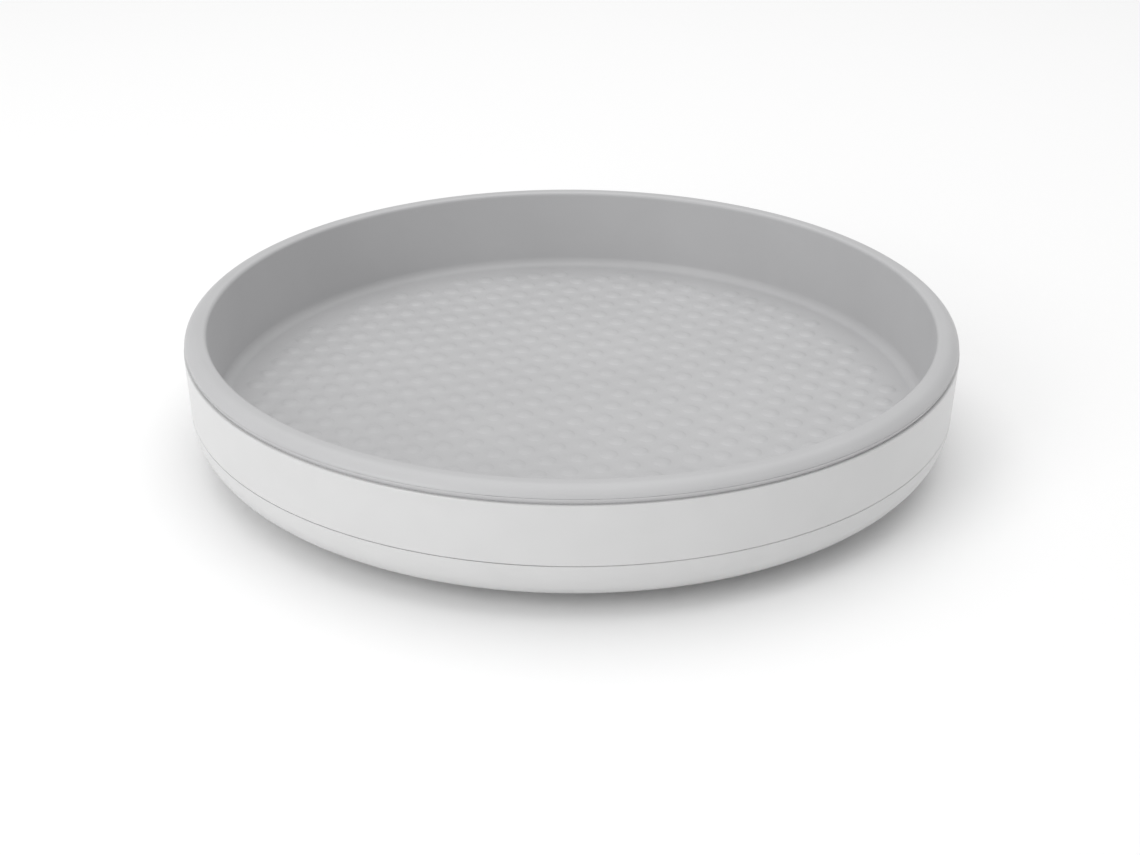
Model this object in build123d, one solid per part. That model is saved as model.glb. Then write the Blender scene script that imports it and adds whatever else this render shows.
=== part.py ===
"""Twelve-inch lazy susan: a soft-lined tray turning on a caged ball race over a nested base.

Row frame: +Z up, origin on the turning axis at the level of the surface that the pads stand on.
All sizes are millimetres. Heights (Z_...) are measured from that surface.
"""
from build123d import *
import math
import os

os.makedirs("parts", exist_ok=True)

# ---- driving dimensions ----------------------------------------------------------------
DIAMETER = 304.8            # nominal 12 in turntable, over the lip of its outer wall
HEIGHT = 51.8               # surface to the crown of the rim
Z_FLOOR = 16.1              # top of the soft floor that things stand on
Z_LIP = 46.0                # top edge of the white wall, just under the rim
Z_SEAM = 22.9               # butt joint between the tray shell and the underside cover
Z_COVER = 5.3               # flat bottom of the underside cover
Z_BASE = 1.8                # underside of the base plate, above the foot pads

# ---- soft insert -----------------------------------------------------------------------
R_RIM = DIAMETER / 2 - 0.4  # outer edge of the soft rim, a hair inside the wall's lip
R_MOUTH = 143.2             # inner edge of the rim
R_WELL = 141.8              # foot of the insert's wall
INSERT_WALL = 1.8
MOUTH_ROUND = 1.1           # rounding from the wall up to the crown
RIM_CROWN = 5.6             # rounding from the crown to the shoulder
RIM_FALL = 2.66             # width and drop of the shoulder, which slopes down from the crown
RIM_SHOULDER = 3.0          # rounding from the shoulder to the steeper part below it
RIM_STEEP = 0.4             # width of that part
RIM_EDGE = 3.9              # drop from the crown to the rim's outer edge
RIM_NOSE = 0.5              # rounding of that edge
RIM_TUCK = 0.8              # how far the rim runs back in below its edge, down to the white wall
RIM_DEPTH = 3.6             # thickness of the rim over the gap between the two walls
HOOK = 1.8                  # lip that hangs inside the white wall and holds the rim in place
HOOK_DROP = 3.4
WELL_FILLET = 4.0           # between floor and wall

# ---- tray shell ------------------------------------------------------------------------
R_LIP = DIAMETER / 2
R_SEAM = 151.57
SHELL_WALL = 3.0
SHELL_FLOOR = 2.2
REBATE = 2.5                # step that the cover's upper edge laps over
LAP_GAP = 0.1
SEAM_GAP = 0.2              # shadow groove along the butt joint
SEAM_ROUND = 0.3
PLUG_TAPER = 5.2            # lead-in of the step below the seam
WALL_GUSSETS = 36           # upright ribs behind the insert's wall
TRAY_RIBS = 12
RIB = 1.6

# ---- underside cover -------------------------------------------------------------------
COVER_WALL = 2.4
COVER_DRAFT = 0.4           # how far the skirt leans in from the seam to its foot
COVER_ROUND = 16.6          # radius of the curved bottom edge
R_COVER_LIP = 117.5         # inner edge, around the base
COVER_SCREWS = 6
R_SCREWS = 124.6
BOSS_R = 4.2
SCREW_R = 1.5
SCREW_HEAD_R = 2.8
SCREW_HEAD = 2.0
SCREW_LENGTH = 5.5
SCREW_RECESS = 2.2

# ---- ball race -------------------------------------------------------------------------
BALLS = 12
BALL_R = 4.7625 / 2         # three-sixteenths inch balls
R_PITCH = 62.0
Z_BALL = 8.6
GROOVE_GAP = 0.05
POCKET_GAP = 0.15
RACE_HALF = 5.0             # half the race rings' radial width
RACE = 2.4
RACE_GAP = 1.0              # ball centre to the face of either race
CAGE = 1.4

# ---- base ------------------------------------------------------------------------------
R_BASE = 114.5
BASE_FLOOR = 2.4
BASE_RIM = 2.4
Z_BASE_RIM = 6.6
Z_BASE_RIBS = 5.8
SEAT_LIP = 2.2              # width of the ring walls that locate each race
SEAT_STEP = 0.6             # how far those walls stop short of the race's face

# ---- pivot -----------------------------------------------------------------------------
PIN_R = 4.0
PIN_HEAD_R = 7.0
PIN_HEAD = 1.5
BUSH_R = 6.0
BUSH_GAP = 0.05
BUSH_FLANGE_R = 8.5
BUSH_FLANGE = 0.8
HUB_R = 11.0
WASHER_R = 8.5
WASHER = 0.8

# ---- foot pads -------------------------------------------------------------------------
PADS = 5
PAD_R = 7.9                 # five-eighths inch die-cut pads
PAD = 2.3
PAD_ADHESIVE = 0.3
PAD_RECESS = 0.8
R_PADS = 98.0

# Heights that follow from the driving ones.
Z_TRAY_TOP = Z_FLOOR - INSERT_WALL
Z_TRAY_UNDER = Z_TRAY_TOP - SHELL_FLOOR
Z_BASE_TOP = Z_BASE + BASE_FLOOR
Z_UPPER_RACE = Z_BALL + RACE_GAP
Z_LOWER_RACE = Z_BALL - RACE_GAP
Z_SCREW_SEAT = Z_COVER + SCREW_RECESS
Z_BOSS_FACE = Z_COVER + COVER_WALL + 1.0
Z_BASE_HUB = 6.0
Z_GUSSET = Z_LIP - 5.0
Z_TRAY_RIBS = Z_UPPER_RACE - 0.4
Z_HUB_FOOT = Z_BASE_HUB + 0.1 + BUSH_FLANGE
Z_HUB_STEP = 10.7           # floor of the pocket that holds the washer and clip


# ---- shared shapes ---------------------------------------------------------------------
def disc(radius, low, high, x=0.0, y=0.0):
    """Upright cylinder between two heights."""
    return Pos(x, y, low) * Cylinder(radius, high - low, align=(Align.CENTER, Align.CENTER, Align.MIN))


def ring(inner, outer, low, high):
    """Upright tube between two heights."""
    return disc(outer, low, high) - disc(inner, low - 1, high + 1)


def turned(points):
    """Solid turned about Z from (radius, height, corner rounding) points."""
    path = []
    for i, (r, z, rounding) in enumerate(points):
        corner = Vector(r, z)
        back = (Vector(*points[i - 1][:2]) - corner).normalized()
        ahead = (Vector(*points[(i + 1) % len(points)][:2]) - corner).normalized()
        half = math.radians(back.get_angle(ahead)) / 2
        reach = rounding / math.tan(half)
        middle = (back + ahead).normalized() * (rounding / math.sin(half) - rounding)
        path.append((corner + back * reach, corner + middle, corner + ahead * reach, rounding))
    edges = []
    for (_, _, leave, _), (enter, top, out, rounding) in zip(path[-1:] + path[:-1], path):
        edges.append(Edge.make_line(leave, enter))
        if rounding:
            edges.append(Edge.make_three_point_arc(enter, top, out))
    return revolve(Plane.XZ * make_face(Wire(edges)), Axis.Z)


def around(radius, count, start=0.0):
    """(x, y, angle in degrees) of evenly spaced places on a circle."""
    for i in range(count):
        angle = start + 360.0 * i / count
        yield radius * math.cos(math.radians(angle)), radius * math.sin(math.radians(angle)), angle


def spokes(count, inner, outer, low, high, start=0.0):
    """Radial ribs of one height, evenly spaced."""
    rib = Pos((inner + outer) / 2, 0, (low + high) / 2) * Box(outer - inner, RIB, high - low)
    return [Rot(0, 0, angle) * rib for _, _, angle in around(1, count, start)]


def save(name, shape):
    export_step(shape, f"parts/{name}.step")


# ---- the pieces ------------------------------------------------------------------------
def tray_insert():
    """Soft grey lining: floor, wall and the rounded rim that hooks over the shell's wall."""
    hook = R_LIP - SHELL_WALL
    return turned([
        (0, Z_FLOOR, 0),
        (R_WELL, Z_FLOOR, WELL_FILLET),
        (R_MOUTH, HEIGHT, MOUTH_ROUND),
        (R_RIM - RIM_STEEP - RIM_FALL, HEIGHT, RIM_CROWN),
        (R_RIM - RIM_STEEP, HEIGHT - RIM_FALL, RIM_SHOULDER),
        (R_RIM, HEIGHT - RIM_EDGE, RIM_NOSE),
        (R_RIM - RIM_TUCK, Z_LIP, 0),
        (hook - LAP_GAP, Z_LIP, 0),
        (hook - LAP_GAP - 0.35, Z_LIP - HOOK_DROP, 0),
        (hook - LAP_GAP - HOOK, Z_LIP - HOOK_DROP, 0),
        (hook - LAP_GAP - HOOK, HEIGHT - RIM_DEPTH, 0),
        (R_MOUTH + INSERT_WALL, HEIGHT - RIM_DEPTH, 0),
        (R_WELL + INSERT_WALL, Z_FLOOR - INSERT_WALL, WELL_FILLET + INSERT_WALL),
        (0, Z_FLOOR - INSERT_WALL, 0),
    ])


def tray_shell():
    """White pan: outer wall, floor, ribs, screw bosses, the upper race's seat and the hub."""
    lap = R_SEAM - REBATE
    wall_foot = R_SEAM - SHELL_WALL
    pan = turned([
        (0, Z_TRAY_UNDER, 0),
        (lap - PLUG_TAPER, Z_TRAY_UNDER, 0),
        (lap, Z_SEAM, 0),
        (R_SEAM, Z_SEAM, SEAM_ROUND),
        (R_LIP, Z_LIP, 0.5),
        (R_LIP - SHELL_WALL, Z_LIP, 0.3),
        (wall_foot, Z_SEAM + 2.5, 0),
        (wall_foot - 5.4, Z_TRAY_TOP, 0),
        (0, Z_TRAY_TOP, 0),
    ])
    seat = ring(R_PITCH - RACE_HALF - SEAT_LIP, R_PITCH + RACE_HALF + SEAT_LIP, Z_UPPER_RACE + SEAT_STEP, Z_TRAY_UNDER)
    seat -= ring(R_PITCH - RACE_HALF, R_PITCH + RACE_HALF, Z_UPPER_RACE, Z_UPPER_RACE + RACE)
    hub = disc(HUB_R, Z_HUB_FOOT, Z_TRAY_UNDER)
    gusset = extrude(
        Plane.XZ * make_face(Polyline(
            (R_WELL + INSERT_WALL + 0.25, Z_TRAY_TOP + 0.7),
            (wall_foot - 4.0, Z_TRAY_TOP + 0.7),
            (wall_foot + 0.5, Z_SEAM + 3.0),
            (R_LIP - SHELL_WALL + 0.4, Z_GUSSET),
            (R_MOUTH + INSERT_WALL + 0.15, Z_GUSSET),
            close=True,
        )),
        amount=RIB / 2, both=True,
    )
    parts = [pan, seat, hub]
    parts += [Rot(0, 0, angle) * gusset for _, _, angle in around(1, WALL_GUSSETS)]
    parts += spokes(TRAY_RIBS, HUB_R - 1, R_PITCH - RACE_HALF - SEAT_LIP + 1, Z_TRAY_RIBS, Z_TRAY_UNDER + 0.5, 15)
    parts += spokes(TRAY_RIBS, R_PITCH + RACE_HALF + SEAT_LIP - 1, 137.0, Z_TRAY_RIBS, Z_TRAY_UNDER + 0.5, 15)
    parts += [
        disc(BOSS_R, Z_BOSS_FACE, Z_TRAY_UNDER + 0.5, x, y) for x, y, _ in around(R_SCREWS, COVER_SCREWS)
    ]
    shell = parts[0].fuse(*parts[1:])
    cuts = [disc(BUSH_R, Z_HUB_FOOT - 1, Z_TRAY_TOP + 1), disc(WASHER_R + 0.5, Z_HUB_STEP, Z_TRAY_TOP + 1)]
    cuts += [
        disc(SCREW_R, Z_BOSS_FACE - 1, Z_SCREW_SEAT + SCREW_LENGTH + 0.4, x, y)
        for x, y, _ in around(R_SCREWS, COVER_SCREWS)
    ]
    return shell.cut(*cuts)


def underside_cover():
    """White curved skirt that closes the tray's underside around the base."""
    skirt = turned([
        (R_SEAM, Z_SEAM - SEAM_GAP, SEAM_ROUND),
        (R_SEAM - COVER_DRAFT, Z_COVER, COVER_ROUND),
        (R_COVER_LIP, Z_COVER, 1.0),
        (R_COVER_LIP, Z_BOSS_FACE, 0),
        (R_COVER_LIP + COVER_WALL - 0.4, Z_BOSS_FACE, 0),
        (R_COVER_LIP + COVER_WALL - 0.4, Z_COVER + COVER_WALL, 0),
        (R_SEAM - COVER_DRAFT - COVER_WALL, Z_COVER + COVER_WALL, COVER_ROUND - COVER_WALL),
        (R_SEAM - COVER_WALL, Z_SEAM - SEAM_GAP, 0),
    ])
    places = list(around(R_SCREWS, COVER_SCREWS))
    cover = skirt.fuse(*[disc(BOSS_R, Z_COVER + 1.0, Z_BOSS_FACE, x, y) for x, y, _ in places])
    holes = [disc(SCREW_R + 0.2, Z_COVER - 1, Z_BOSS_FACE + 1, x, y) for x, y, _ in places]
    holes += [disc(SCREW_HEAD_R + 0.4, Z_COVER - 1, Z_SCREW_SEAT, x, y) for x, y, _ in places]
    return cover.cut(*holes)


def cover_screws():
    """Six pan-head self-tapping screws, driven up through the cover into the shell's bosses."""
    screws = []
    for x, y, _ in around(R_SCREWS, COVER_SCREWS):
        head = disc(SCREW_HEAD_R, Z_SCREW_SEAT - SCREW_HEAD, Z_SCREW_SEAT, x, y)
        head = fillet(head.edges().sort_by(Axis.Z)[:1], 0.8)
        slot = Pos(x, y, Z_SCREW_SEAT - SCREW_HEAD)
        screw = head + disc(SCREW_R, Z_SCREW_SEAT, Z_SCREW_SEAT + SCREW_LENGTH, x, y)
        screw -= slot * Box(3.0, 0.7, 1.8)
        screw -= slot * Box(0.7, 3.0, 1.8)
        screws.append(screw)
    return Compound(children=screws)


def race(face, back):
    """Acetal race ring whose groove follows the balls, between its face and back heights."""
    blank = ring(R_PITCH - RACE_HALF, R_PITCH + RACE_HALF, min(face, back), max(face, back))
    groove = Pos(0, 0, Z_BALL) * Torus(R_PITCH, BALL_R + GROOVE_GAP)
    return blank - groove


def ball_cage():
    """Flat acetal ring with a round pocket for each ball."""
    plate = ring(R_PITCH - RACE_HALF + 0.6, R_PITCH + RACE_HALF - 0.6, Z_BALL - CAGE / 2, Z_BALL + CAGE / 2)
    pockets = [
        disc(BALL_R + POCKET_GAP, Z_BALL - CAGE, Z_BALL + CAGE, x, y) for x, y, _ in around(R_PITCH, BALLS)
    ]
    return plate.cut(*pockets)


def base_plate():
    """Stationary base: ribbed disc with the lower race's seat, the pin's boss and pad recesses."""
    race_low = Z_LOWER_RACE - RACE
    parts = [
        disc(R_BASE, Z_BASE, Z_BASE_TOP),
        ring(R_BASE - BASE_RIM, R_BASE, Z_BASE, Z_BASE_RIM),
        ring(R_PITCH - RACE_HALF - SEAT_LIP, R_PITCH + RACE_HALF + SEAT_LIP, Z_BASE, Z_LOWER_RACE - SEAT_STEP),
        disc(HUB_R + 1, Z_BASE, Z_BASE_HUB),
    ]
    parts += spokes(TRAY_RIBS, HUB_R, R_PITCH - RACE_HALF - SEAT_LIP + 1, Z_BASE + 0.5, Z_BASE_RIBS)
    parts += spokes(TRAY_RIBS, R_PITCH + RACE_HALF + SEAT_LIP - 1, R_BASE - 1, Z_BASE + 0.5, Z_BASE_RIBS)
    base = parts[0].fuse(*parts[1:])
    cuts = [
        ring(R_PITCH - RACE_HALF, R_PITCH + RACE_HALF, race_low, Z_LOWER_RACE + 1),
        disc(PIN_R, Z_BASE - 1, Z_BASE_HUB + 1),
        disc(PIN_HEAD_R + 0.3, Z_BASE - 1, Z_BASE + PIN_HEAD + 0.3),
    ]
    cuts += [disc(PAD_R + 0.4, Z_BASE - 1, Z_BASE + PAD_RECESS, x, y) for x, y, _ in around(R_PADS, PADS, 90)]
    base = base.cut(*cuts)
    corner = [e for e in base.edges().filter_by(GeomType.CIRCLE) if abs(e.radius - R_BASE) < 0.01
              and abs(e.center().Z - Z_BASE) < 0.01]
    return fillet(corner, 1.0)


def pivot_pin():
    """Steel rivet pin, pressed up through the base's boss."""
    head_top = Z_BASE + 0.3 + PIN_HEAD
    head = disc(PIN_HEAD_R, Z_BASE + 0.3, head_top)
    head = fillet(head.edges().sort_by(Axis.Z)[:1], 0.6)
    pin = head + disc(PIN_R, head_top, Z_HUB_STEP + 3.2)
    return chamfer(pin.edges().sort_by(Axis.Z)[-1:], 0.5)


def pivot_bush():
    """Flanged acetal bush in the tray's hub."""
    sleeve = disc(BUSH_R, Z_HUB_FOOT - BUSH_FLANGE, Z_HUB_STEP)
    flange = disc(BUSH_FLANGE_R, Z_HUB_FOOT - BUSH_FLANGE, Z_HUB_FOOT)
    return sleeve + flange - disc(PIN_R + BUSH_GAP, 0, Z_HUB_STEP + 1)


def pivot_washer():
    """Steel washer over the bush, on the pin."""
    low = Z_HUB_STEP + 0.15
    return ring(PIN_R, WASHER_R, low, low + WASHER)


def pivot_clip():
    """Push-on clip whose eight teeth grip the pin above the washer."""
    low = Z_HUB_STEP + 0.15 + WASHER
    clip = ring(PIN_R, WASHER_R - 1.0, low, low + 0.8) + ring(WASHER_R - 1.6, WASHER_R - 1.0, low, low + 1.4)
    slots = [
        Rot(0, 0, angle) * Pos(PIN_R + 1.0, 0, low) * Box(2.4, 0.8, 3.0) for _, _, angle in around(1, 8)
    ]
    return clip.cut(*slots)


def foot_pads():
    """(pad, adhesive disc) for each of the five feet in the base's recesses."""
    for x, y, _ in around(R_PADS, PADS, 90):
        pad = disc(PAD_R, 0, PAD, x, y)
        yield fillet(pad.edges().sort_by(Axis.Z)[:1], 0.5), disc(PAD_R - 0.3, PAD, PAD + PAD_ADHESIVE, x, y)


save("tray_insert", tray_insert())
save("tray_shell", tray_shell())
save("underside_cover", underside_cover())
save("cover_screws", cover_screws())
save("upper_race", race(Z_UPPER_RACE, Z_UPPER_RACE + RACE))
save("lower_race", race(Z_LOWER_RACE, Z_LOWER_RACE - RACE))
save("ball_cage", ball_cage())
for number, (ball_x, ball_y, _) in enumerate(around(R_PITCH, BALLS), 1):
    save(f"bearing_ball_{number:02d}", Pos(ball_x, ball_y, Z_BALL) * Sphere(BALL_R))
save("base_plate", base_plate())
save("pivot_pin", pivot_pin())
save("pivot_bush", pivot_bush())
save("pivot_washer", pivot_washer())
save("pivot_clip", pivot_clip())
for number, (foot, sticker) in enumerate(foot_pads(), 1):
    save(f"foot_pad_{number}", foot)
    save(f"pad_adhesive_{number}", sticker)
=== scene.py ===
import math
import bmesh
import bpy
import numpy as np
from mathutils import Matrix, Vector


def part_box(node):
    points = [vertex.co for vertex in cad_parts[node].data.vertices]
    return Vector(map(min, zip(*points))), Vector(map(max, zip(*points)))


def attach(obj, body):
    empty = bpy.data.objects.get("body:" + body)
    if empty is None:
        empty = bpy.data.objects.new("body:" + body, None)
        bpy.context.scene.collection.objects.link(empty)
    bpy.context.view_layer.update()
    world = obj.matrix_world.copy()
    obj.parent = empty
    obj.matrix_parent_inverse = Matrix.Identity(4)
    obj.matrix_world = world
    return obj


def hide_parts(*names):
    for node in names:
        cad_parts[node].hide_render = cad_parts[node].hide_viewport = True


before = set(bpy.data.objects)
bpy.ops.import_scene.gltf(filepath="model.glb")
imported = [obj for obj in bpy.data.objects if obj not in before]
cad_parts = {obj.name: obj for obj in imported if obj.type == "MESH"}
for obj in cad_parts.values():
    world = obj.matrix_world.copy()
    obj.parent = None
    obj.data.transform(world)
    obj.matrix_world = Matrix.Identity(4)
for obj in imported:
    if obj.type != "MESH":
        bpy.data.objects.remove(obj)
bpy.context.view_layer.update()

# ---- Base plate -------------------------------------------------------------------------------
# The part that stands still is a ribbed disc, injection moulded in white polypropylene. Its tool
# is left spark-eroded, so the plate is matt beside the glossy shell that turns above it.
MM = 0.001


def linear(code):
    """sRGB hex colour as linear RGBA: each channel c is ((c + 0.055) / 1.055)^2.4, or c / 12.92."""
    c = np.array([int(code[k:k + 2], 16) for k in (1, 3, 5)]) / 255
    return (*np.where(c > 0.04045, ((c + 0.055) / 1.055) ** 2.4, c / 12.92).tolist(), 1.0)


def add(tree, kind, settings=None, **inputs):
    """Adds a node with its settings and its inputs: a socket is linked, a value is set."""
    made = tree.nodes.new("ShaderNode" + kind)
    for key, value in (settings or {}).items():
        setattr(made, key, value)
    for key, value in inputs.items():
        socket = made.inputs[key.replace("_", " ")]
        if isinstance(value, bpy.types.NodeSocket):
            tree.links.new(value, socket)
        else:
            socket.default_value = value
    return made


def finish_of(name, **uniform):
    """A new material, its tree and its shader, with the shader's uniform values, and the place on
    the object that its patterns follow."""
    material = bpy.data.materials.new(name)
    material.use_nodes = True
    shader = material.node_tree.nodes["Principled BSDF"]
    for key, value in uniform.items():
        shader.inputs[key.replace("_", " ")].default_value = value
    return material, material.node_tree, shader, add(material.node_tree, "TexCoord").outputs["Object"]


def drive(tree, shader, **inputs):
    """Links each output to the shader's input of that name."""
    for key, output in inputs.items():
        tree.links.new(output, shader.inputs[key.replace("_", " ")])


def dress(material, *names):
    """Gives CAD nodes their material."""
    for name in names:
        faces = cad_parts[name].data.materials
        faces.clear()
        faces.append(material)


# Polypropylene off a spark-eroded tool: a satin white, broken by pits about 0.15 mm across, which
# are drawn at 0.5 mm so that they show, over a slow drift in colour from the flow of the melt.
eroded_white, tree, shader, place = finish_of("spark_eroded_white_pp", IOR=1.49)
flow = add(tree, "TexNoise", Vector=place, Scale=1 / (40 * MM), Detail=2.0)
pits = add(tree, "TexVoronoi", Vector=place, Scale=1 / (0.5 * MM))
depth = add(tree, "Bump", Height=pits.outputs["Distance"], Distance=0.03 * MM, Strength=0.6)
matt = add(tree, "MapRange", Value=pits.outputs["Distance"], To_Min=0.46, To_Max=0.58)
fade = add(tree, "MapRange", Value=flow.outputs["Fac"], From_Min=0.3, From_Max=0.7)
tint = add(tree, "MixRGB", Fac=fade.outputs["Result"], Color1=linear("#d9d9d8"), Color2=linear("#dededd"))
drive(tree, shader, Base_Color=tint.outputs["Color"],
      Roughness=matt.outputs["Result"], Normal=depth.outputs["Normal"])
dress(eroded_white, "base_plate")

# ---- Foot pads --------------------------------------------------------------------------------
# Five discs die-cut from black rubber sheet, each stuck in its own recess under the base with a
# smaller disc of clear acrylic transfer adhesive.
pad_names = [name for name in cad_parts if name.startswith("foot_pad")]
sticker_names = [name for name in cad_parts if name.startswith("pad_adhesive")]

# Calendered rubber sheet with talc on it: near black, dull, with pale dust specks about 0.3 mm
# across and a crepe of 1 mm left by the cloth that it was rolled up in.
sheet_rubber, tree, shader, place = finish_of("talced_sheet_rubber", IOR=1.52, Sheen_Weight=0.08)
dust = add(tree, "TexNoise", Vector=place, Scale=1 / (0.6 * MM), Detail=3.0, Roughness=0.7)
crepe = add(tree, "TexVoronoi", Vector=place, Scale=1 / (1.0 * MM))
crease = add(tree, "Bump", Height=crepe.outputs["Distance"], Distance=0.08 * MM, Strength=0.5)
dull = add(tree, "MapRange", Value=dust.outputs["Fac"], To_Min=0.62, To_Max=0.88)
fade = add(tree, "MapRange", Value=dust.outputs["Fac"], From_Min=0.55, From_Max=0.78)
tint = add(tree, "MixRGB", Fac=fade.outputs["Result"], Color1=linear("#232228"), Color2=linear("#4a494f"))
drive(tree, shader, Base_Color=tint.outputs["Color"],
      Roughness=dull.outputs["Result"], Normal=crease.outputs["Normal"])
dress(sheet_rubber, *pad_names)

# Acrylic transfer adhesive: a clear, faintly yellow film, glossy where it wetted the plastic and
# hazy over trapped air pockets a few millimetres across.
acrylic_film, tree, shader, place = finish_of("acrylic_transfer_film", IOR=1.47)
air = add(tree, "TexNoise", Vector=place, Scale=1 / (3 * MM), Detail=2.0)
haze = add(tree, "MapRange", Value=air.outputs["Fac"], To_Min=0.12, To_Max=0.45)
fade = add(tree, "MapRange", Value=air.outputs["Fac"], From_Min=0.3, From_Max=0.7)
tint = add(tree, "MixRGB", Fac=fade.outputs["Result"], Color1=linear("#d6d2c2"), Color2=linear("#e4e1d6"))
drive(tree, shader, Base_Color=tint.outputs["Color"], Roughness=haze.outputs["Result"])
dress(acrylic_film, *sticker_names)

# ---- Ball race --------------------------------------------------------------------------------
# Two moulded acetal rings with a rolled groove each, one pressed into the base and one under the
# tray. Twelve 3/16 inch steel balls run between them, spaced by a flat black cage.

# Natural acetal: creamy white and waxy, a little translucent, with fine polish marks that run round
# the ring about 0.4 mm apart. A Wave texture at scale 1 repeats every 0.314 units.
WAVE_REPEAT = 0.314
natural_acetal, tree, shader, place = finish_of("natural_acetal", IOR=1.48, Subsurface_Weight=0.15,
                                                Subsurface_Scale=2 * MM)
rings = add(tree, "TexWave", {"wave_type": "RINGS", "rings_direction": "Z"}, Vector=place,
            Scale=WAVE_REPEAT / (0.4 * MM), Distortion=0.6, Detail=1.0, Detail_Scale=2.0)
drift = add(tree, "TexNoise", Vector=place, Scale=1 / (12 * MM), Detail=2.0)
waxy = add(tree, "MapRange", Value=rings.outputs["Fac"], To_Min=0.26, To_Max=0.34)
marks = add(tree, "Bump", Height=rings.outputs["Fac"], Distance=0.008 * MM, Strength=0.6)
fade = add(tree, "MapRange", Value=drift.outputs["Fac"], From_Min=0.3, From_Max=0.7)
tint = add(tree, "MixRGB", Fac=fade.outputs["Result"], Color1=linear("#e3dfd3"), Color2=linear("#ebe8de"))
drive(tree, shader, Base_Color=tint.outputs["Color"],
      Roughness=waxy.outputs["Result"], Normal=marks.outputs["Normal"])
dress(natural_acetal, "upper_race", "lower_race", "pivot_bush")

# Black acetal, moulded thin: dark, semi-matt, with paler flow marks between the ball pockets.
black_acetal, tree, shader, place = finish_of("black_acetal", IOR=1.48)
flow = add(tree, "TexNoise", Vector=place, Scale=1 / (5 * MM), Detail=3.0, Distortion=1.5)
grain = add(tree, "TexNoise", Vector=place, Scale=1 / (0.5 * MM), Detail=1.0)
matt = add(tree, "MapRange", Value=flow.outputs["Fac"], To_Min=0.34, To_Max=0.48)
relief = add(tree, "Bump", Height=grain.outputs["Fac"], Distance=0.02 * MM, Strength=0.4)
fade = add(tree, "MapRange", Value=flow.outputs["Fac"], From_Min=0.3, From_Max=0.7)
tint = add(tree, "MixRGB", Fac=fade.outputs["Result"], Color1=linear("#1a1a1c"), Color2=linear("#242427"))
drive(tree, shader, Base_Color=tint.outputs["Color"],
      Roughness=matt.outputs["Result"], Normal=relief.outputs["Normal"])
dress(black_acetal, "ball_cage")

# Through-hardened chrome steel, lapped: a near mirror with a faint run-in haze.
lapped_steel, tree, shader, place = finish_of("lapped_bearing_steel", Metallic=1.0)
run_in = add(tree, "TexNoise", Vector=place, Scale=1 / (1.5 * MM), Detail=3.0)
mirror = add(tree, "MapRange", Value=run_in.outputs["Fac"], To_Min=0.05, To_Max=0.14)
fade = add(tree, "MapRange", Value=run_in.outputs["Fac"], From_Min=0.3, From_Max=0.7)
tint = add(tree, "MixRGB", Fac=fade.outputs["Result"], Color1=linear("#c6c8cc"), Color2=linear("#cfd0d3"))
drive(tree, shader, Base_Color=tint.outputs["Color"], Roughness=mirror.outputs["Result"])
dress(lapped_steel, *[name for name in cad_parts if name.startswith("bearing_ball")])

# ---- White shell and underside cover ----------------------------------------------------------
# The pan and the curved skirt below it are injection moulded in white ABS from polished tools. The
# skirt laps over a step in the pan, and a fine shadow groove marks the joint between them.

# ABS off a polished tool: a clean white, smooth and glossy, with the faint waviness that a thick
# moulding takes on as it shrinks, about 15 mm from crest to crest.
gloss_white, tree, shader, place = finish_of("gloss_white_abs", IOR=1.53)
wave = add(tree, "TexNoise", Vector=place, Scale=1 / (15 * MM), Detail=1.0, Roughness=0.4)
shrink = add(tree, "Bump", Height=wave.outputs["Fac"], Distance=0.04 * MM, Strength=0.2)
gloss = add(tree, "MapRange", Value=wave.outputs["Fac"], To_Min=0.27, To_Max=0.33)
fade = add(tree, "MapRange", Value=wave.outputs["Fac"], From_Min=0.3, From_Max=0.7)
tint = add(tree, "MixRGB", Fac=fade.outputs["Result"], Color1=linear("#d2d2d2"), Color2=linear("#d4d4d4"))
drive(tree, shader, Base_Color=tint.outputs["Color"],
      Roughness=gloss.outputs["Result"], Normal=shrink.outputs["Normal"])
dress(gloss_white, "tray_shell", "underside_cover")

# ---- Pivot and screws -------------------------------------------------------------------------
# A rivet pin, pressed up through the base, carries the tray's flanged bush. A washer and a push-on
# clip hold the tray down, and six pan-head screws hold the cover to the shell.

# Mild steel with bright zinc plate: bluish silver, crystalline in patches of 2 mm, and rubbed to a
# softer shine by the barrel it was plated in.
bright_zinc, tree, shader, place = finish_of("bright_zinc_plate", Metallic=1.0)
crystals = add(tree, "TexVoronoi", Vector=place, Scale=1 / (2 * MM))
rub = add(tree, "TexNoise", Vector=place, Scale=1 / (0.8 * MM), Detail=3.0, Roughness=0.6)
shine = add(tree, "MapRange", Value=rub.outputs["Fac"], To_Min=0.22, To_Max=0.42)
scuff = add(tree, "Bump", Height=rub.outputs["Fac"], Distance=0.01 * MM, Strength=0.5)
fade = add(tree, "MapRange", Value=crystals.outputs["Distance"], From_Min=0.3, From_Max=0.7)
tint = add(tree, "MixRGB", Fac=fade.outputs["Result"], Color1=linear("#b4b9c1"), Color2=linear("#c8ccd1"))
drive(tree, shader, Base_Color=tint.outputs["Color"],
      Roughness=shine.outputs["Result"], Normal=scuff.outputs["Normal"])
dress(bright_zinc, "pivot_pin", "pivot_washer", "pivot_clip", "cover_screws")

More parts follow.
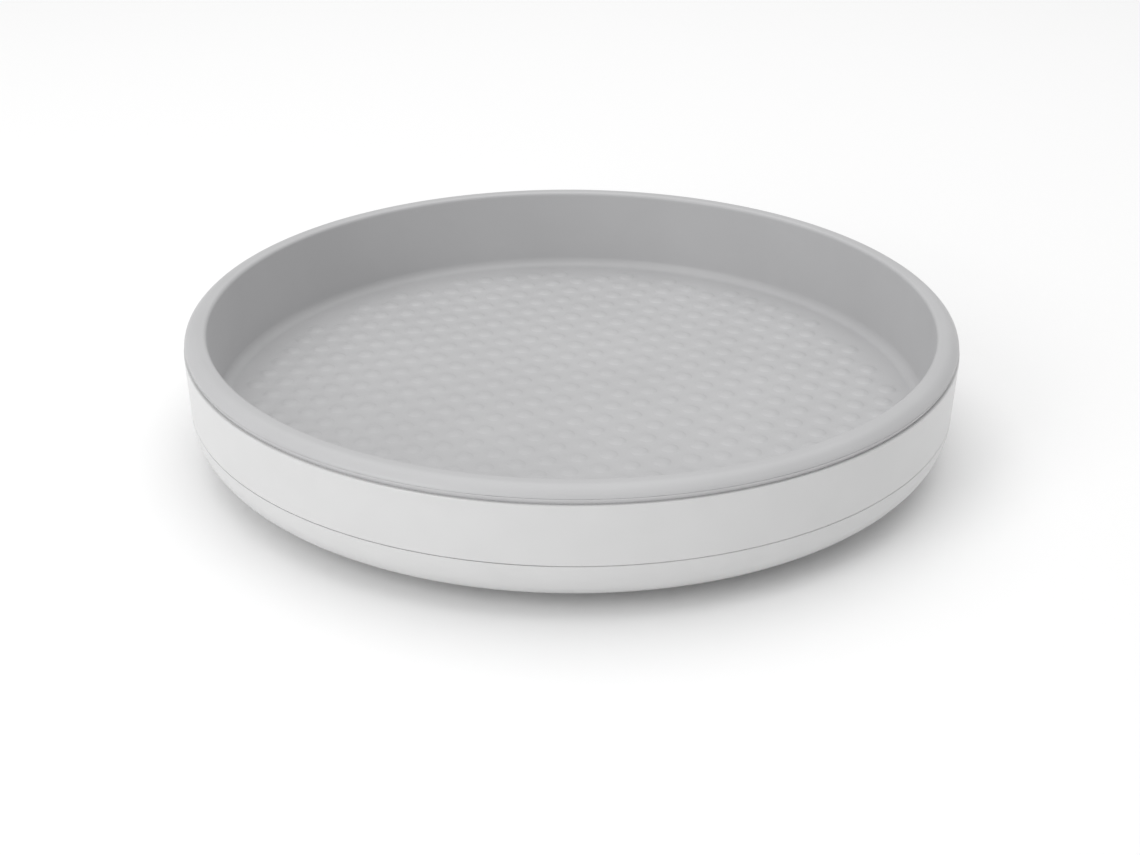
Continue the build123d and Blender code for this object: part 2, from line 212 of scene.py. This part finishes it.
# ---- Soft lining ------------------------------------------------------------------------------
# The grey liner is injection moulded in a soft thermoplastic elastomer: a dotted floor, an upright
# wall and a thick rounded rim, whose lip hooks down inside the white wall and holds it in place.
lining_low, lining_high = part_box("tray_insert")
CROWN = lining_high.z
FLOOR = CROWN - 35.7 * MM
SKIN = FLOOR - lining_low.z
R_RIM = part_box("tray_shell")[1].x - 0.35 * MM
R_MOUTH = R_RIM - 8.7 * MM
R_WELL = R_RIM - 10.1 * MM
FLOOR_ROUND = 4.0 * MM
FLOOR_EDGE = 0.4 * MM
MOUTH_ROUND = 1.5 * MM

# From the mouth the rim rolls over its crown and falls steeply to a crease at its widest, then
# tucks in to the white wall's lip.
RIM_CROWN = 5.6 * MM
RIM_FALL = 2.66 * MM
RIM_STEEP = 0.4 * MM
RIM_SHOULDER = 3.0 * MM
RIM_CREASE = 3.9 * MM
RIM_NOSE = 0.5 * MM
RIM_TUCK = 1.0 * MM
RIM_THICK = 3.6 * MM
SHELL_LIP = CROWN - 5.8 * MM

# The hook goes down behind the lip, thinner towards its end.
R_HOOK = R_RIM - 2.7 * MM
HOOK_DEPTH = 3.4 * MM
HOOK_THICK = 1.8 * MM
HOOK_TAPER = 0.35 * MM

TURNS = 240
SHARP = math.radians(38)
WELD = 0.004 * MM


def rounded(corners, per_arc=6, support=0.25 * MM):
    """Outline through (radius, height, rounding) corners: each rounding is an arc tangent to both
    sides, cut into equal turns, with one more point on the straight just before and after it."""
    line = []
    for i, (r, z, rounding) in enumerate(corners):
        corner = np.array((r, z))
        if not rounding:
            line.append(corner[None])
            continue
        back = np.array(corners[i - 1][:2]) - corner
        ahead = np.array(corners[i + 1][:2]) - corner
        back /= np.linalg.norm(back)
        ahead /= np.linalg.norm(ahead)
        half = math.acos(float(back @ ahead)) / 2
        middle = corner + (back + ahead) / np.linalg.norm(back + ahead) * rounding / math.sin(half)
        reach = rounding / math.tan(half)
        start, end = corner + back * reach - middle, corner + ahead * reach - middle
        turn = math.pi - 2 * half
        t = np.linspace(0, 1, per_arc + 1)[:, None]
        arc = middle + (np.sin((1 - t) * turn) * start + np.sin(t * turn) * end) / math.sin(turn)
        line += [arc[:1] + back * support, arc, arc[-1:] + ahead * support]
    return np.concatenate(line)


def turned(line):
    """Surface of revolution: point (r, z) of the outline goes round the Z axis in equal steps, at
    (r cos a, r sin a, z), and neighbouring outline points are joined by a band of quads."""
    angle = np.arange(TURNS) * 2 * math.pi / TURNS
    r, z = line[:, 0, None], line[:, 1, None]
    points = np.stack([r * np.cos(angle), r * np.sin(angle), z + 0 * angle], -1)
    i, j = np.meshgrid(np.arange(len(line) - 1), np.arange(TURNS), indexing="ij")
    k = (j + 1) % TURNS
    quads = [i * TURNS + j, i * TURNS + k, (i + 1) * TURNS + k, (i + 1) * TURNS + j]
    return points.reshape(-1, 3), np.stack(quads, -1).reshape(-1, 4)


# The floor's dots stand in a hexagonal array that was cut across the floor at a slant.
DOT_PITCH = 11.93 * MM
DOT_TURN = math.radians(13.4)
DOT_OFFSET = np.array((-0.15, 3.0)) * MM
DOT_REACH = 130.0 * MM
DOT_RADIUS = 3.75 * MM
DOT_RISE = 0.65 * MM
DOT_EDGE = 3.0
DOT_RINGS = np.array((0.0, 0.45, 0.76, 0.94, 1.03))
ROWS = 16
SIDES = 12


def dots():
    """Hexagonal cells, one to a dot: rings of twelve points about the dot's centre, at the height
    rise * (1 - (r / radius)^edge) on the dot and level outside it, out to the cell's edge."""
    step = np.arange(-ROWS, ROWS + 1)
    a, b = (grid.reshape(-1, 1) for grid in np.meshgrid(step, step))
    along, across = DOT_TURN, DOT_TURN + math.pi / 3
    centres = DOT_OFFSET + DOT_PITCH * (a * (math.cos(along), math.sin(along))
                                        + b * (math.cos(across), math.sin(across)))
    centres = centres[np.hypot(*centres.T) < DOT_REACH]
    k = np.arange(SIDES)
    n = (k + 1) % SIDES
    spoke = DOT_TURN + k * 2 * math.pi / SIDES
    share = DOT_RINGS[:, None]
    edge = DOT_PITCH / 2 * np.where(k % 2, 2 / math.sqrt(3), 1.0)
    radius = np.concatenate([share * DOT_RADIUS + 0 * spoke, edge[None]])
    rise = np.append(DOT_RISE * np.clip(1 - share ** DOT_EDGE, 0, 1), 0.0)[:, None] + 0 * spoke
    cell = np.stack([radius * np.cos(spoke), radius * np.sin(spoke), FLOOR + rise], -1).reshape(-1, 3)
    points = cell[None] + np.pad(centres, ((0, 0), (0, 1)))[:, None]
    inner = SIDES * np.arange(len(share))[:, None]
    bands = np.stack([inner + k, inner + SIDES + k, inner + SIDES + n, inner + n], -1).reshape(-1, 4)
    start = len(cell) * np.arange(len(centres))[:, None, None]
    return points.reshape(-1, 3), (bands + start).reshape(-1, 4)


def moulded(name, *parts):
    """One closed mesh from (points, quads) parts: points that meet are merged, the level gap that is
    left between the parts is filled with triangles, and the faces are turned outwards."""
    first = np.cumsum([0] + [len(points) for points, _ in parts])
    mesh = bpy.data.meshes.new(name)
    mesh.from_pydata(np.concatenate([points for points, _ in parts]).tolist(), [],
                     np.concatenate([quads + start for (_, quads), start in zip(parts, first)]).tolist())
    bm = bmesh.new()
    bm.from_mesh(mesh)
    bmesh.ops.remove_doubles(bm, verts=bm.verts, dist=WELD)
    gap = [edge for edge in bm.edges if edge.is_boundary]
    bmesh.ops.triangle_fill(bm, use_beauty=True, use_dissolve=False, edges=gap)
    bmesh.ops.recalc_face_normals(bm, faces=bm.faces)
    bm.to_mesh(mesh)
    bm.free()
    mesh.polygons.foreach_set("use_smooth", np.ones(len(mesh.polygons), bool))
    mesh.set_sharp_from_angle(angle=SHARP)
    made = bpy.data.objects.new(name, mesh)
    bpy.context.scene.collection.objects.link(made)
    return made


lining_line = rounded([
    (R_WELL - FLOOR_ROUND - FLOOR_EDGE, FLOOR, 0),
    (R_WELL, FLOOR, FLOOR_ROUND),
    (R_MOUTH, CROWN, MOUTH_ROUND),
    (R_RIM - RIM_STEEP - RIM_FALL, CROWN, RIM_CROWN),
    (R_RIM - RIM_STEEP, CROWN - RIM_FALL, RIM_SHOULDER),
    (R_RIM, CROWN - RIM_CREASE, RIM_NOSE),
    (R_RIM - RIM_TUCK, SHELL_LIP, 0),
    (R_HOOK, SHELL_LIP, 0),
    (R_HOOK - HOOK_TAPER, SHELL_LIP - HOOK_DEPTH, 0),
    (R_HOOK - HOOK_THICK, SHELL_LIP - HOOK_DEPTH, 0),
    (R_HOOK - HOOK_THICK, CROWN - RIM_THICK, 0),
    (R_MOUTH + SKIN, CROWN - RIM_THICK, 0),
    (R_WELL + SKIN, lining_low.z, FLOOR_ROUND + SKIN),
    (0.0, lining_low.z, 0),
])
lining = moulded("soft_lining", turned(lining_line), dots())

# Soft-touch elastomer off a lightly blasted tool: dull and even, a little powdery at grazing
# angles. The tool's grain is about 0.25 mm, drawn at 0.6 mm so that it shows.
soft_grey, tree, shader, place = finish_of("soft_touch_elastomer", IOR=1.52, Sheen_Weight=0.08,
                                           Sheen_Roughness=0.4)
cloud = add(tree, "TexNoise", Vector=place, Scale=1 / (45 * MM), Detail=3.0)
grain = add(tree, "TexNoise", Vector=place, Scale=1 / (0.6 * MM), Detail=2.0, Roughness=0.6)
dull = add(tree, "MapRange", Value=grain.outputs["Fac"], To_Min=0.36, To_Max=0.48)
relief = add(tree, "Bump", Height=grain.outputs["Fac"], Distance=0.03 * MM, Strength=0.5)
fade = add(tree, "MapRange", Value=cloud.outputs["Fac"], From_Min=0.3, From_Max=0.7)
tint = add(tree, "MixRGB", Fac=fade.outputs["Result"], Color1=linear("#bcbcbd"), Color2=linear("#c0c0c1"))
drive(tree, shader, Base_Color=tint.outputs["Color"],
      Roughness=dull.outputs["Result"], Normal=relief.outputs["Normal"])
lining.data.materials.append(soft_grey)
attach(lining, "tray")
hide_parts("tray_insert")

# ---- Studio -----------------------------------------------------------------------------------
# A white sweep to stand on in a pale room, a large soft box overhead, and two small ones at the
# left front, one high and one near the table. Each has its place and side in metres and its watts.
sweep_mesh = bpy.data.meshes.new("studio_floor")
REACH = 4
sweep_mesh.from_pydata([(-REACH, -REACH, 0), (REACH, -REACH, 0), (REACH, REACH, 0), (-REACH, REACH, 0)],
                       [], [(0, 1, 2, 3)])
studio_floor = bpy.data.objects.new("studio_floor", sweep_mesh)
bpy.context.scene.collection.objects.link(studio_floor)
sweep_mesh.materials.append(finish_of("white_paper", Base_Color=linear("#fdfdfd"), Roughness=0.9,
                                      Specular_IOR_Level=0.0)[0])

LIGHTS = {
    "overhead_box": ((0.0, 0.3, 2.0), 2.6, 25.5),
    "key_box": ((-1.1, -1.1, 1.1), 0.9, 5.4),
    "low_key_box": ((-1.1, -1.3, 0.4), 0.8, 4.9),
}
for name, (where, size, power) in LIGHTS.items():
    lamp = bpy.data.lights.new(name, "AREA")
    lamp.size = size
    lamp.energy = power
    holder = bpy.data.objects.new(name, lamp)
    tilt = math.atan2(math.hypot(where[0], where[1]), where[2])
    turn = math.atan2(where[0], -where[1])
    holder.matrix_world = (Matrix.Translation(where) @ Matrix.Rotation(turn, 4, "Z")
                           @ Matrix.Rotation(tilt, 4, "X"))
    bpy.context.scene.collection.objects.link(holder)
world = bpy.data.worlds.new("studio")
world.use_nodes = True
room = world.node_tree.nodes["Background"].inputs
room["Color"].default_value = linear("#ffffff")
room["Strength"].default_value = 0.52
bpy.context.scene.world = world
bpy.context.scene.view_settings.view_transform = "Standard"

# ---- Camera -----------------------------------------------------------------------------------
# It stands in front at about arm's length, looking down at the tray at 26 degrees, and is turned
# and rolled by a fraction of a degree.
EYE = (-0.00024, -0.65396, CROWN + 0.27053)
LOOK_DOWN = math.radians(26.30)
TURN = math.radians(0.0243)
ROLL = math.radians(0.2667)
camera = bpy.data.cameras.new("camera")
camera.lens = 55.94
camera.sensor_width = 36.0
camera_holder = bpy.data.objects.new("camera", camera)
camera_holder.matrix_world = (
    Matrix.Translation(EYE)
    @ Matrix.Rotation(TURN, 4, "Z")
    @ Matrix.Rotation(math.pi / 2 - LOOK_DOWN, 4, "X")
    @ Matrix.Rotation(ROLL, 4, "Z")
)
bpy.context.scene.collection.objects.link(camera_holder)
bpy.context.scene.camera = camera_holder
